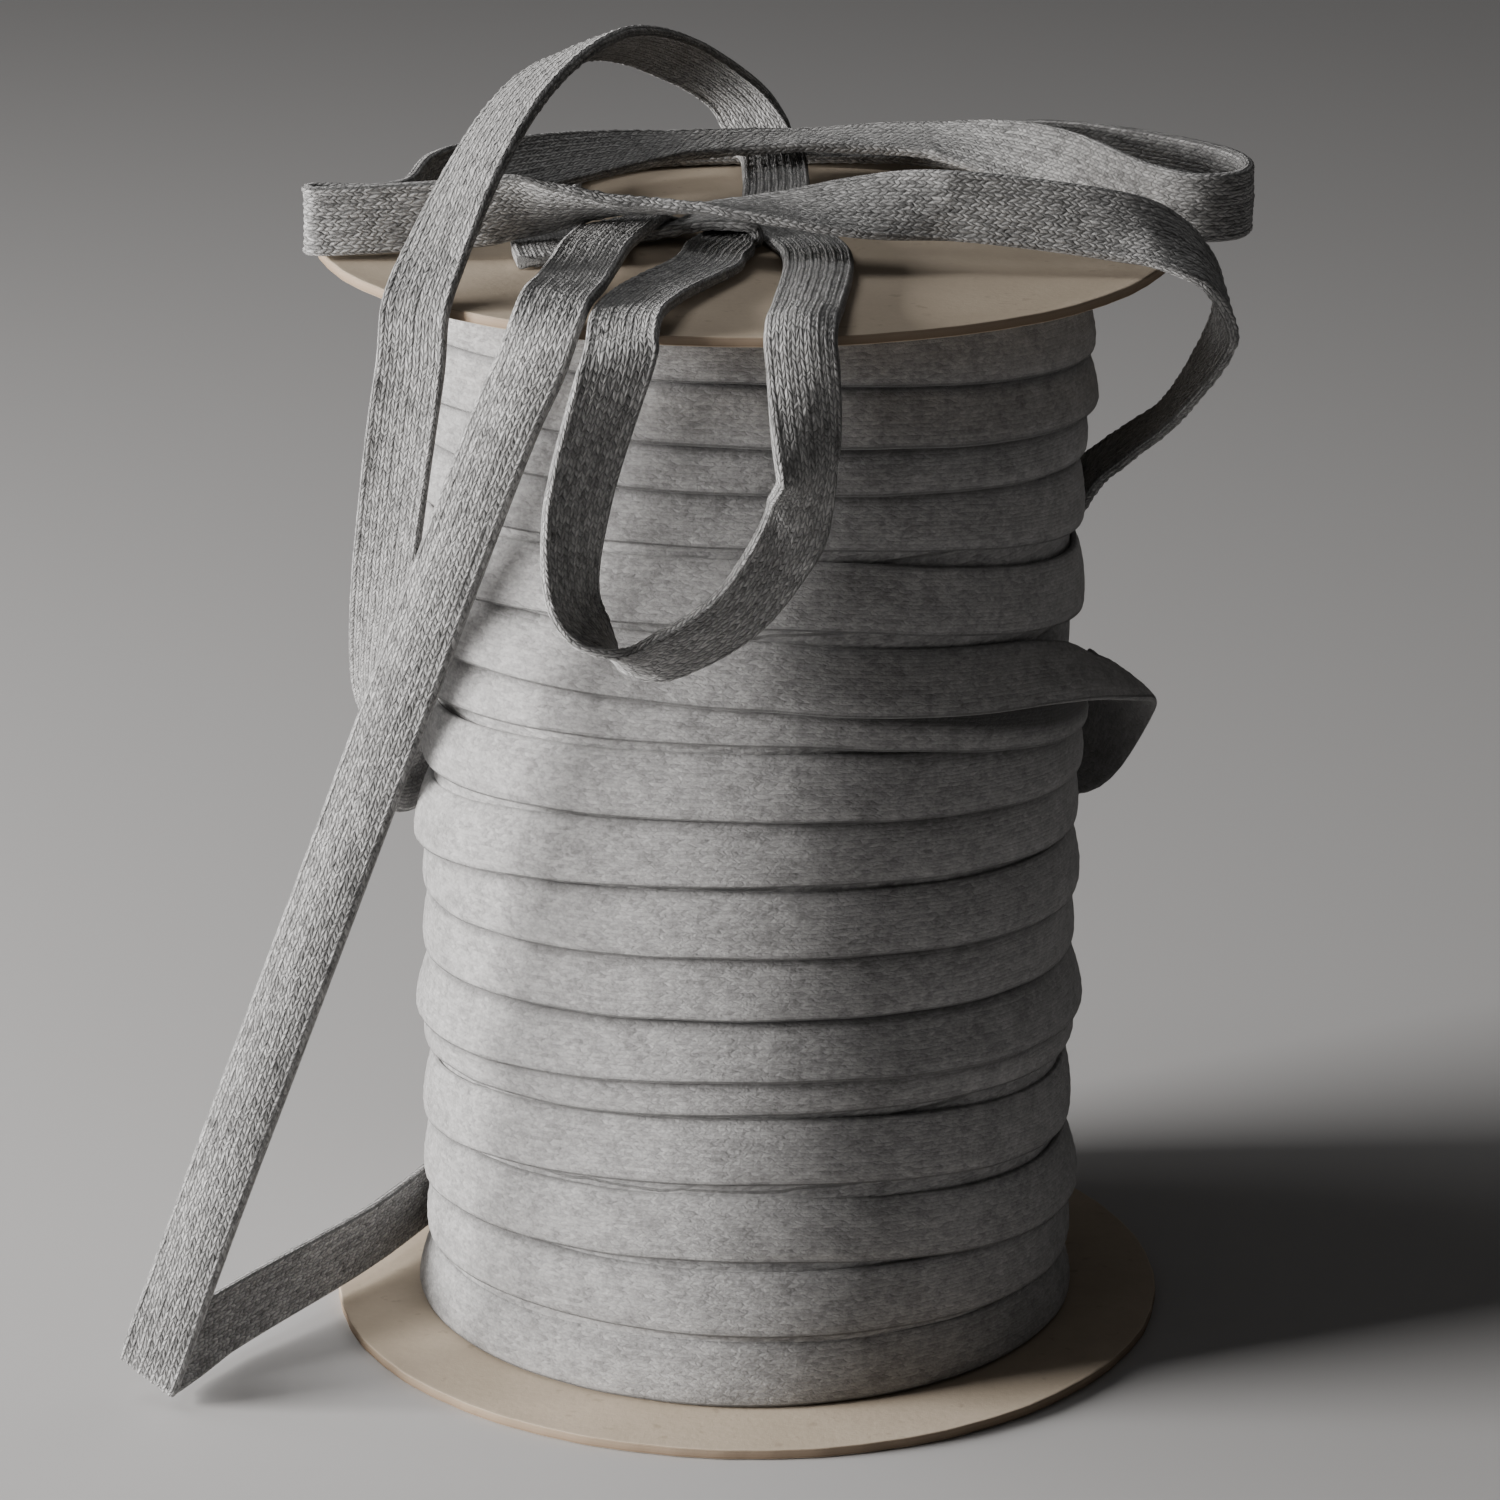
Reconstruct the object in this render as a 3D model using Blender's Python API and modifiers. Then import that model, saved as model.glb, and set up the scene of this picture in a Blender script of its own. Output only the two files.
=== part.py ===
"""Roll of flat drawstring cord between two round cards, with its loose end laid over it.

Metres, +Z up. The origin is the centre of the lower card's underside, and the roll stands on that
card. -Y is the side that faces the viewer, and +X is the viewer's right.
"""
import math

import bmesh
import bpy
import numpy as np

MM = 0.001

# Round cards at both ends of the roll (millimetres)
LOWER_CARD_RADIUS = 62.5
UPPER_CARD_RADIUS = 62.0
CARD_THICKNESS = 1.4
CARD_EDGE_BEVEL = 0.25
CARD_SIDES = 96
UPPER_CARD_X = -0.96          # the upper card sits a little to the left
UPPER_CARD_TOP = 165.05       # height of its upper face at the centre
UPPER_CARD_SLOPE = -0.012     # its rise per millimetre towards +Y

# The wound body
GAP = 0.3                     # air between neighbouring pieces
WOUND_RADIUS = 48.75          # mean radius of the wound cord
LIP = 0.6                     # how far a turn's lower edge stands out from that mean
ANGLE_STEPS = 40              # columns round the roll
SLACK_NEAR_ANGLE = 50.0       # the slack turns reach this many degrees from +X to the near side
SLACK_FAR_ANGLE = 24.0        # and this many to the far side, where the loose cord passes

# The cord
CORD_WIDTH = 10.0
CORD_THICKNESS = 1.6
CORD_CHAMFER = 0.35
SAMPLE_STEP = 1.0             # spacing of the samples along the smooth route
RING_SPACING = 9.0            # longest run between two rings
RING_TURN = 10.0              # degrees of bend or twist between two rings

# Main turns of the roll, bottom to top. Heights of each turn's lower edge at the left (-X), at the
# front (-Y) and at the right (+X), then how far a slack turn stands off at the right, at its lower
# and at its upper edge.
TURN_COLUMNS = ("left", "front", "right", "slack_low", "slack_top")
TURNS = (
    (-9.0, -8.0, -9.0, 0.0, 0.0),
    (0.0, 1.5, 0.0, 0.0, 0.0),
    (11.0, 13.0, 10.6, 0.0, 0.0),
    (20.0, 24.2, 18.5, 0.0, 0.0),
    (29.5, 36.6, 30.5, 0.0, 0.0),
    (41.5, 47.3, 43.5, 0.0, 0.0),
    (46.5, 52.7, 48.5, 0.0, 0.0),
    (56.5, 61.8, 58.5, 0.0, 0.0),
    (66.5, 71.1, 67.5, 0.0, 0.0),
    (74.0, 82.1, 78.0, 2.2, 5.5),
    (87.0, 91.7, 86.5, 5.5, 8.0),
    (98.5, 103.0, 93.0, 8.0, 9.0),
    (107.0, 109.1, 95.8, 9.2, 1.2),
    (115.5, 120.5, 110.5, 0.8, 0.0),
    (127.5, 131.8, 124.0, 0.0, 0.0),
    (137.0, 139.9, 134.5, 0.0, 0.0),
    (145.0, 147.0, 141.5, 0.0, 0.0),
    (153.5, 155.6, 150.0, 0.0, 0.0),
    (162.5, 164.5, 160.0, 0.0, 0.0),
    (172.0, 173.0, 170.0, 0.0, 0.0),
    (181.0, 182.0, 180.0, 0.0, 0.0),
    (190.0, 191.0, 189.0, 0.0, 0.0),
)

# Rows across one turn: share of the turn's height, then radius against the mean in lips
TURN_PROFILE = ((0.0, -0.7), (0.10, 0.9), (0.45, 1.0), (0.85, -0.3))

# Route of the loose cord: its stretch, a point on the middle of its width in millimetres, and the
# direction across its width. It leaves the roll at the lower left, and its free end lies on the
# upper card.
ROUTE_COLUMNS = ("stretch", "x", "y", "z", "across_x", "across_y", "across_z")
ROUTE = (
    ("leaves", -43.8, 26.3, 9, 0, 0, -1),
    ("leaves", -48, 18.2, 8.6, 0, 0, -1),
    ("leaves", -57.6, -1, 8, 0, 0.05, -1),
    ("leaves", -78.5, -30, 6, 0.22, 0.06, -0.97),
    ("floor fold", -87, -42.4, 4.3, 0.8, -0.2, -0.57),
    ("floor fold", -87.4, -44.3, 4.6, 0.8, -0.2, -0.57),
    ("floor fold", -86.9, -45.2, 6.2, 0.8, -0.2, -0.57),
    ("tail", -79.8, -45.6, 26.4, 0.86, -0.36, -0.36),
    ("tail", -55.5, -49, 92.6, 0.86, -0.36, -0.36),
    ("tail", -33.7, -56.5, 152.4, 0.86, -0.36, -0.36),
    ("tail", -30.1, -57.6, 160.6, 0.86, -0.36, -0.36),
    ("front rim", -27.9, -58.3, 166.5, 0.9, -0.37, -0.22),
    ("front rim", -26.6, -54.6, 169, 0.95, -0.3, -0.09),
    ("over top", -25, -45, 168.8, 0.96, -0.25, -0.05),
    ("over top", -23.2, -31, 168.6, 0.98, -0.18, 0),
    ("over top", -21.9, -22, 168.8, 1, -0.08, 0),
    ("fold one", -18.2, -7.5, 168.6, 0.72, 0.69, 0),
    ("fold one", -17.9, -6.1, 168.2, 0.72, 0.69, 0),
    ("fold one", -17.3, -5.1, 167.4, 0.72, 0.69, 0),
    ("fold one", -16.2, -4.5, 166.6, 0.72, 0.69, 0),
    ("fold one", -14.5, -4.3, 166.35, 0.68, 0.73, 0),
    ("between", -10, -4.9, 167.6, 0.34, 0.94, 0),
    ("between", -6.2, -5.5, 168.7, 0.05, 1, 0),
    ("fold two", -2.1, -6.3, 168.8, -0.3, 0.95, 0),
    ("fold two", -1.2, -6.4, 168.5, -0.3, 0.95, 0),
    ("fold two", -0.7, -6.6, 167.6, -0.3, 0.95, 0),
    ("fold two", -0.9, -7.1, 166.7, -0.3, 0.95, 0),
    ("fold two", -1.7, -7.7, 166.45, -0.3, 0.95, 0),
    ("left leg", -4.6, -16, 166.5, -0.56, 0.83, 0),
    ("left leg", -6.6, -26, 166.7, -0.7, 0.71, 0),
    ("left leg", -14.2, -45, 167.2, -0.91, 0.42, 0),
    ("left leg", -17.1, -60, 167.5, -0.99, 0.15, -0.06),
    ("left leg", -17.4, -62.4, 165.8, -0.98, 0.1, -0.15),
    ("hanging U", -17.8, -65.4, 164, -0.98, -0.1, -0.18),
    ("hanging U", -23.6, -65, 142.4, -0.89, -0.45, -0.1),
    ("hanging U", -24.1, -63.4, 128.9, -0.6, -0.79, -0.12),
    ("hanging U", -21.7, -62.6, 124.1, -0.35, -0.93, -0.1),
    ("hanging U", -17.6, -61.8, 120.1, 0.05, -0.88, 0.47),
    ("hanging U", -12.4, -61, 120.2, -0.1, -0.57, 0.82),
    ("hanging U", -2.2, -60.5, 126.2, -0.47, -0.45, 0.76),
    ("hanging U", 5.3, -62, 137.7, -0.6, -0.34, 0.72),
    ("hanging U", 6.8, -64.2, 143.2, -0.7, -0.52, 0.34),
    ("kink", 7.6, -66.4, 147.8, -0.76, -0.62, -0.12),
    ("kink", 7.7, -66.5, 149.2, -0.8, -0.58, -0.12),
    ("right leg", 7.5, -65.7, 153.2, -0.92, -0.38, -0.1),
    ("right leg", 6.9, -64.5, 161.5, -1, 0, -0.03),
    ("right leg", 6.5, -63.9, 165.6, -1, 0, -0.03),
    ("right leg", 6.6, -61.5, 167.45, -1, 0, -0.03),
    ("foot", 7.7, -48, 166.9, -1, 0, 0),
    ("foot", 9, -18, 166.5, -0.99, 0.12, 0),
    ("foot", 4, 2, 166.4, -1, 0, 0),
    ("foot", 3.4, 30, 166.4, -1, 0, 0),
    ("foot", 2.9, 40, 167.5, -1, 0, 0),
    ("arch", 1.5, 44.8, 168, -0.99, 0.14, -0.05),
    ("arch", 0.1, 47.2, 171.1, -0.96, 0.24, -0.12),
    ("arch", -2, 46.5, 174.7, -0.92, 0.31, -0.23),
    ("arch", -10.7, 34, 183.4, -0.72, 0.45, -0.52),
    ("arch", -21.4, 9, 191.1, -0.59, 0.65, -0.49),
    ("arch", -30.6, -12, 190.1, -0.56, 0.82, -0.16),
    ("arch", -37.7, -29, 183.1, -0.64, 0.76, 0),
    ("down left", -44.6, -44.4, 169.9, -0.94, 0.33, -0.03),
    ("down left", -45.6, -46.6, 167.4, -0.94, 0.34, 0),
    ("down left", -46.2, -47.2, 165, -0.94, 0.34, 0),
    ("down left", -46.8, -47.2, 158, -0.95, 0.32, 0),
    ("down left", -48.3, -45.5, 148.1, -0.95, 0.32, 0),
    ("down left", -51.5, -36.5, 125.1, -0.86, 0.5, 0.02),
    ("down left", -54.6, -19, 100.1, -0.52, 0.82, 0.22),
    ("down left", -54.5, -9, 89.4, -0.22, 0.8, 0.55),
    ("down left", -53.4, 3, 80.8, 0, 0.4, 0.92),
    ("down left", -50.4, 14, 77.5, 0, 0.12, 0.99),
    ("behind", -40, 33.6, 79.5, 0, 0, 1),
    ("behind", -30.3, 43.3, 83, 0, 0, 1),
    ("behind", -18.2, 50, 87.5, 0, 0, 1),
    ("behind", -4.7, 53.2, 92.5, 0, 0, 1),
    ("behind", 9.3, 52.6, 98, 0, 0, 1),
    ("behind", 22.6, 48.4, 104, 0, 0, 1),
    ("behind", 42.3, 31.9, 116, 0, 0.05, 1),
    ("up right", 48.3, 21.3, 120.5, 0.14, 0.36, 0.92),
    ("up right", 53.4, 10, 129.4, 0.4, 0.68, 0.62),
    ("up right", 58.4, 3, 135.6, 0.46, 0.69, 0.56),
    ("up right", 63.2, -10.5, 146.1, 0.18, 0.77, 0.61),
    ("up right", 67.2, -18.5, 157.9, -0.2, 0.85, 0.48),
    ("up right", 63.6, -23.3, 166.4, 0, 0.92, 0.38),
    ("up right", 57.3, -24, 170.7, 0.2, 0.72, 0.66),
    ("up right", 51.5, -24, 172.2, 0.1, 0.45, 0.88),
    ("front band", 27.6, -23.2, 174.9, 0, 0.1, 1),
    ("front band", 14.5, -22.2, 174.4, 0, 0.75, 0.66),
    ("front band", 4.5, -20.5, 173.6, 0, 0.98, 0.18),
    ("twist", -7, -17.1, 172.9, 0, 0.97, -0.23),
    ("twist", -14, -15.4, 172.75, 0, 0.95, -0.32),
    ("twist", -20, -15.2, 172.8, 0, 0.92, -0.4),
    ("twist", -24.5, -15.5, 172.8, 0, 0.8, -0.6),
    ("twist", -29, -15.8, 172.6, 0, 0.58, -0.81),
    ("front band", -33.5, -16.4, 172.75, 0, 0.25, -0.97),
    ("front band", -38, -17, 172.2, 0, 0, -1),
    ("tight fold", -61.6, -18.3, 171, 0, 0, -1),
    ("tight fold", -62.4, -17.9, 171, 0, 0, -1),
    ("tight fold", -62.8, -17.1, 171, 0, 0, -1),
    ("tight fold", -62.4, -16.3, 171, 0, 0, -1),
    ("tight fold", -61.6, -15.9, 171, 0, 0, -1),
    ("back band", -53.5, -15.2, 170.8, 0, 0, -1),
    ("back band", -49.6, -12.2, 170.8, 0, 0, -1),
    ("back band", -46, 2.5, 171.3, 0, -0.15, -0.99),
    ("back band", -34.5, 13.5, 171.6, 0.12, -0.81, -0.57),
    ("back band", -11.5, 33.2, 170.4, 0.2, -0.97, -0.12),
    ("back band", 8, 37, 170.6, 0, -1, 0),
    ("back band", 27.5, 35.6, 171, -0.28, -0.93, -0.25),
    ("right loop", 44.5, 20.5, 171.3, -0.25, -0.35, -0.9),
    ("right loop", 57, 0.6, 170.7, 0, 0, -1),
    ("right loop", 63.5, -5, 170.5, 0, 0, -1),
    ("right loop", 69.6, -3.2, 170.5, 0, 0, -1),
    ("right loop", 71.6, 3, 170.6, 0, 0, -1),
    ("far rim", 69.4, 10, 170.8, 0, -0.05, -1),
    ("far rim", 53, 24, 171, -0.1, -0.2, -0.97),
    ("far rim", 33, 41, 168.9, -0.32, -0.84, -0.44),
    ("far rim", 23, 47.5, 167.3, -0.25, -0.95, -0.2),
    ("far rim", 0, 51, 165.75, 0, -1, 0),
    ("far rim", -18.5, 46.6, 165.8, 0.3, -0.95, 0),
    ("end run", -29.3, 34.6, 165.9, 0.89, -0.46, 0),
    ("end run", -30.6, 25.5, 166, 0.99, -0.1, 0),
    ("end run", -29.4, -14, 166.5, 0.99, 0.12, 0),
    ("end run", -28.2, -23, 166.5, 0.99, 0.12, 0),
)

CARD_COLOUR = (0.72, 0.62, 0.50, 1.0)
CORD_COLOUR = (0.46, 0.46, 0.47, 1.0)


def clear_scene():
    for obj in list(bpy.data.objects):
        bpy.data.objects.remove(obj, do_unlink=True)


def material(name, colour, roughness):
    mat = bpy.data.materials.new(name)
    mat.use_nodes = True
    shader = mat.node_tree.nodes["Principled BSDF"]
    shader.inputs["Base Color"].default_value = colour
    shader.inputs["Roughness"].default_value = roughness
    shader.inputs["Metallic"].default_value = 0.0
    return mat


def keep(obj, collection, mat):
    for old in list(obj.users_collection):
        old.objects.unlink(obj)
    collection.objects.link(obj)
    obj.data.materials.clear()
    obj.data.materials.append(mat)
    return obj


def card(name, radius, centre, tilt, collection, mat):
    """A flat round card with slightly broken edges."""
    bpy.ops.mesh.primitive_cylinder_add(
        vertices=CARD_SIDES, radius=radius * MM, depth=CARD_THICKNESS * MM,
        location=[c * MM for c in centre], rotation=(tilt, 0.0, 0.0))
    disc = bpy.context.object
    disc.name = name
    bevel = disc.modifiers.new("broken edge", "BEVEL")
    bevel.width = CARD_EDGE_BEVEL * MM
    bevel.segments = 1
    bevel.limit_method = "ANGLE"
    disc.data.shade_smooth()
    disc.data.set_sharp_from_angle(angle=math.radians(30))
    return keep(disc, collection, mat)


def named_rows(columns, rows):
    """A table's rows as dictionaries by column name."""
    return [dict(zip(columns, row)) for row in rows]


def edge_line(turns):
    """Heights of the winding's edge line at every quarter turn, from the lowest left point on.

    The line climbs steadily over the far side, from a turn's right to the next turn's left.
    """
    heights = []
    for turn, after in zip(turns, turns[1:]):
        halfway = (turn["right"] + after["left"]) / 2
        heights += [turn["left"], turn["front"], turn["right"], halfway]
    return heights


def edge_height(heights, turn):
    """Height of the edge line after so many turns, on an even Catmull-Rom curve."""
    quarter = min(max(turn * 4, 1.0), len(heights) - 2.001)
    k = int(quarter)
    u = quarter - k
    p0, p1, p2, p3 = heights[k - 1:k + 3]
    return 0.5 * (2 * p1 + (p2 - p0) * u + (2 * p0 - 5 * p1 + 4 * p2 - p3) * u ** 2
                  + (3 * p1 - p0 - 3 * p2 + p3) * u ** 3)


def slack_share(degrees):
    """How much of a slack turn's stand-off is felt this many degrees round from +X."""
    reach = SLACK_FAR_ANGLE if degrees > 0 else SLACK_NEAR_ANGLE
    return math.cos(math.pi / 2 * min(abs(degrees) / reach, 1.0)) ** 2


def wound_body(name, collection, mat):
    """One solid of the wound cord: a spiral skin of overlapping turns, cut flat at both ends."""
    turns = named_rows(TURN_COLUMNS, TURNS)
    heights = edge_line(turns)
    rows_per_turn = len(TURN_PROFILE)
    last = (len(TURNS) - 3) * rows_per_turn - 1
    bm = bmesh.new()
    grid = {}
    for row in range(last + 1):
        turn, place = divmod(row, rows_per_turn)
        share, lips = TURN_PROFILE[place]
        slack_low, slack_top = turns[turn]["slack_low"], turns[turn]["slack_top"]
        for i in range(ANGLE_STEPS):
            low = edge_height(heights, turn + i / ANGLE_STEPS)
            high = edge_height(heights, turn + 1 + i / ANGLE_STEPS)
            degrees = 360.0 * i / ANGLE_STEPS - 180.0
            slack = slack_low + (slack_top - slack_low) * share
            radius = WOUND_RADIUS + LIP * lips + slack * slack_share(degrees)
            a = math.radians(degrees)
            grid[row, i] = bm.verts.new((radius * math.cos(a) * MM, radius * math.sin(a) * MM,
                                         (low + share * (high - low)) * MM))
    for row in range(last):
        for i in range(ANGLE_STEPS):
            if i + 1 < ANGLE_STEPS:
                ring = [grid[row, i], grid[row, i + 1], grid[row + 1, i + 1], grid[row + 1, i]]
            elif row + 1 + rows_per_turn <= last:
                ring = [grid[row, i], grid[row + rows_per_turn, 0],
                        grid[row + 1 + rows_per_turn, 0], grid[row + 1, i]]
            else:
                continue
            bm.faces.new(ring)
    ends = (((0, 0, (CARD_THICKNESS + GAP) * MM), (0, 0, -1)),
            ((0, 0, (UPPER_CARD_TOP - CARD_THICKNESS - GAP) * MM), (0, -UPPER_CARD_SLOPE, 1)))
    for point, outward in ends:
        everything = bm.verts[:] + bm.edges[:] + bm.faces[:]
        cut = bmesh.ops.bisect_plane(bm, geom=everything, dist=1e-6, plane_co=point,
                                     plane_no=outward, clear_outer=True)
        rim = [g for g in cut["geom_cut"] if isinstance(g, bmesh.types.BMEdge)]
        centre = bm.verts.new(point)
        for edge in rim:
            a, b = edge.verts
            bm.faces.new((a, b, centre))
    bmesh.ops.remove_doubles(bm, verts=bm.verts[:], dist=0.00002)
    bmesh.ops.triangulate(bm, faces=[f for f in bm.faces if len(f.verts) > 4])
    bmesh.ops.recalc_face_normals(bm, faces=bm.faces[:])
    mesh = bpy.data.meshes.new(name)
    bm.to_mesh(mesh)
    bm.free()
    body = bpy.data.objects.new(name, mesh)
    bpy.context.scene.collection.objects.link(body)
    mesh.shade_smooth()
    mesh.set_sharp_from_angle(angle=math.radians(40))
    return keep(body, collection, mat)


def smooth_route():
    """Samples along a centripetal Catmull-Rom curve through ROUTE: points and across-directions."""
    rows = named_rows(ROUTE_COLUMNS, ROUTE)
    knots = np.array([[row[c] for c in ("x", "y", "z")] for row in rows])
    across = np.array([[row[c] for c in ("across_x", "across_y", "across_z")] for row in rows])
    across /= np.linalg.norm(across, axis=1)[:, None]
    ends = np.vstack([2 * knots[0] - knots[1], knots, 2 * knots[-1] - knots[-2]])
    points, widths = [], []
    for i in range(len(knots) - 1):
        p0, p1, p2, p3 = ends[i:i + 4]
        t1 = np.linalg.norm(p1 - p0) ** 0.5
        t2 = t1 + np.linalg.norm(p2 - p1) ** 0.5
        t3 = t2 + np.linalg.norm(p3 - p2) ** 0.5
        count = max(1, round(np.linalg.norm(p2 - p1) / SAMPLE_STEP))
        for k in range(count):
            u = k / count
            t = t1 + (t2 - t1) * u
            a1 = ((t1 - t) * p0 + t * p1) / t1
            a2 = ((t2 - t) * p1 + (t - t1) * p2) / (t2 - t1)
            a3 = ((t3 - t) * p2 + (t - t2) * p3) / (t3 - t2)
            b1 = ((t2 - t) * a1 + t * a2) / t2
            b2 = ((t3 - t) * a2 + (t - t1) * a3) / (t3 - t1)
            points.append(((t2 - t) * b1 + (t - t1) * b2) / (t2 - t1))
            widths.append(across[i] * (1 - u) + across[i + 1] * u)
    points.append(knots[-1])
    widths.append(across[-1])
    widths = np.array(widths)
    return np.array(points), widths / np.linalg.norm(widths, axis=1)[:, None]


def choose_rings(ahead, across):
    """Indices of the samples that carry a ring: close together in bends, far apart in runs."""
    chosen = [0]
    limit = math.cos(math.radians(RING_TURN))
    for i in range(1, len(ahead) - 1):
        j = chosen[-1]
        run = (i + 1 - j) * SAMPLE_STEP
        if run > RING_SPACING or ahead[i + 1] @ ahead[j] < limit or across[i + 1] @ across[j] < limit:
            chosen.append(i)
    return chosen + [len(ahead) - 1]


def loose_cord(name, collection, mat):
    """The loose cord, an eight-sided flat section carried along its route."""
    points, across = smooth_route()
    ahead = np.gradient(points, axis=0)
    ahead /= np.linalg.norm(ahead, axis=1)[:, None]
    skew = (ahead * across).sum(axis=1)
    half = CORD_WIDTH / 2 / np.sqrt(np.clip(1 - skew ** 2, 0.3, 1))
    normal = np.cross(ahead, across)
    normal /= np.linalg.norm(normal, axis=1)[:, None]
    deep, cut = CORD_THICKNESS / 2, CORD_CHAMFER
    bm = bmesh.new()
    rings = []
    for i in choose_rings(ahead, across):
        h = half[i]
        outline = ((h - cut, -deep), (h, cut - deep), (h, deep - cut), (h - cut, deep),
                   (cut - h, deep), (-h, deep - cut), (-h, cut - deep), (cut - h, -deep))
        rings.append([bm.verts.new((points[i] + across[i] * u + normal[i] * v) * MM)
                      for u, v in outline])
    for a, b in zip(rings, rings[1:]):
        for k in range(len(a)):
            m = (k + 1) % len(a)
            bm.faces.new((a[k], a[m], b[m], b[k]))
    bm.faces.new(rings[0][::-1])
    bm.faces.new(rings[-1])
    bmesh.ops.recalc_face_normals(bm, faces=bm.faces[:])
    mesh = bpy.data.meshes.new(name)
    bm.to_mesh(mesh)
    bm.free()
    cord = bpy.data.objects.new(name, mesh)
    bpy.context.scene.collection.objects.link(cord)
    mesh.shade_smooth()
    mesh.set_sharp_from_angle(angle=math.radians(40))
    return keep(cord, collection, mat)


def build():
    clear_scene()
    parts = bpy.data.collections.new("drawstring_roll")
    bpy.context.scene.collection.children.link(parts)
    card("flange_bottom", LOWER_CARD_RADIUS, (0.0, 0.0, CARD_THICKNESS / 2), 0.0, parts,
         material("lower card", CARD_COLOUR, 0.9))
    card("flange_top", UPPER_CARD_RADIUS,
         (UPPER_CARD_X, 0.0, UPPER_CARD_TOP - CARD_THICKNESS / 2), math.atan(UPPER_CARD_SLOPE),
         parts, material("upper card", CARD_COLOUR, 0.9))
    wound_body("winding", parts, material("wound cord", CORD_COLOUR, 0.9))
    loose_cord("loose_cord", parts, material("loose cord", CORD_COLOUR, 0.9))


build()
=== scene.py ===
"""Looks of the roll of flat drawstring cord: braided cord, wound turns, card ends, floor and light.

Lengths of the roll are in millimetres until add_mesh turns them into metres; camera, floor and
lights are placed in metres.
"""
import math

import bpy
import numpy as np
from mathutils import Matrix, Vector


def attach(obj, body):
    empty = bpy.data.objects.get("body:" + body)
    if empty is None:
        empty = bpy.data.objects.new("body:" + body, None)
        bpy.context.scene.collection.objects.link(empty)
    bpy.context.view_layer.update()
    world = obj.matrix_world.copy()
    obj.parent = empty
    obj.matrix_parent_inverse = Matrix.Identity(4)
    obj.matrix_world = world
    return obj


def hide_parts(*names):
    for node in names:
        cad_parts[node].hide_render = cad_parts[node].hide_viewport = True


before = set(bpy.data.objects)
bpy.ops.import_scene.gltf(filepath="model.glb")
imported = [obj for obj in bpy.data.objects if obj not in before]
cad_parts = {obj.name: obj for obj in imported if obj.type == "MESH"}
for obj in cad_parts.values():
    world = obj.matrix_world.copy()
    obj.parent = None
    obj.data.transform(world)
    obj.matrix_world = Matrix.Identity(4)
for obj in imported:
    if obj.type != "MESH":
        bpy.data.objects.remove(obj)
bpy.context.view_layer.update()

MM = 0.001
TURNED = [0, 3, 2, 1]         # order of a face's corners when it looks the other way

# Camera, from the outlines of the two cards: place in metres, pitch and roll in degrees, lens and
# sensor in millimetres
CAMERA_PLACE = (0.0, -0.820, 0.36277)
CAMERA_PITCH = 18.6288
CAMERA_ROLL = 0.3099
CAMERA_LENS = 139.46
SENSOR_WIDTH = 36.0
CLIP_END = 20.0

# Floor, world light and lamps: place, aim, size, power and colour
FLOOR_SIZE = 8.0
FLOOR_PLACE = (0.0, 1.5, -0.0002)
FLOOR_COLOUR = (0.54, 0.53, 0.525)
FLOOR_ROUGHNESS = 0.75
WORLD_COLOUR = (0.84, 0.83, 0.83)
WORLD_STRENGTH = 0.05
LIGHTS = (
    ("key", (-1.03, -0.24, 0.27), (0, 0, 0.10), (0.45, 0.34), 32.0, (1.0, 0.985, 0.97)),
    ("top", (-0.42, -0.02, 0.82), (0, 0, 0.16), (0.4, 0.4), 1.5, (1.0, 1.0, 1.0)),
)

# Cards, as in the solids
LOWER_CARD_RADIUS = 62.5
UPPER_CARD_RADIUS = 62.0
CARD_THICKNESS = 1.4
UPPER_CARD_X = -0.96
UPPER_CARD_TOP = 165.05
UPPER_CARD_SLOPE = -0.012
GAP = 0.3                     # between a card and the winding

# Mesh of a card: points round it, even rings on each face and the share of the radius they cover
CARD_COLUMNS = 288
FACE_RINGS = 33
FACE_REACH = 0.94

# Cut edge of a card, from the upper face down: how far in from the rim, and height
EDGE_PROFILE = (
    (0.9, 0.0), (0.35, 0.03), (0.08, 0.0), (0.0, -0.16), (0.07, -0.34), (0.0, -0.5), (0.08, -0.7),
    (0.01, -0.9), (0.07, -1.08), (0.02, 0.12 - CARD_THICKNESS), (0.15, -CARD_THICKNESS),
)

# Waves of a card's face and of its rim: height, number round the card, share of the card's phase
FACE_RIPPLES = ((0.10, 2, 1.0), (0.06, 5, 2.1), (0.03, 11, 1.0))
CUT_RIPPLES = ((0.05, 23, 1.0), (0.04, 57, 0.0))

# Look of the card: its colours; scale, detail and roughness of the noise for stains, fibres and
# flecks; and their shares and limits
CARD_COLOUR = (0.65, 0.545, 0.425)
CARD_DEEP_COLOUR = (0.55, 0.455, 0.345)
STAINS = (45.0, 4.0, 0.6)
PAPER_FIBRES = (900.0, 3.0, 0.7)
FLECKS = (420.0, 2.0, 0.5)
STAINS_SHARE = 0.7
STAINS_RANGE = (0.35, 0.65)
STAINS_RELIEF = 0.6
PAPER_FIBRES_RANGE = (0.3, 0.7)
PAPER_ROUGHNESS = (0.72, 0.92)
PAPER_SPECULAR = 0.3
PAPER_RELIEF = 0.05
FLECKS_RANGE = (0.66, 0.74)
FLECKS_STRENGTH = 0.35
FLECK_TINT = (0.6, 0.55, 0.5)
CUT_RANGE = (0.25, 0.9)       # of how far a face looks up or down
CUT_STRENGTH = 0.9
CUT_TINT = (0.40, 0.33, 0.28)

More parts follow.
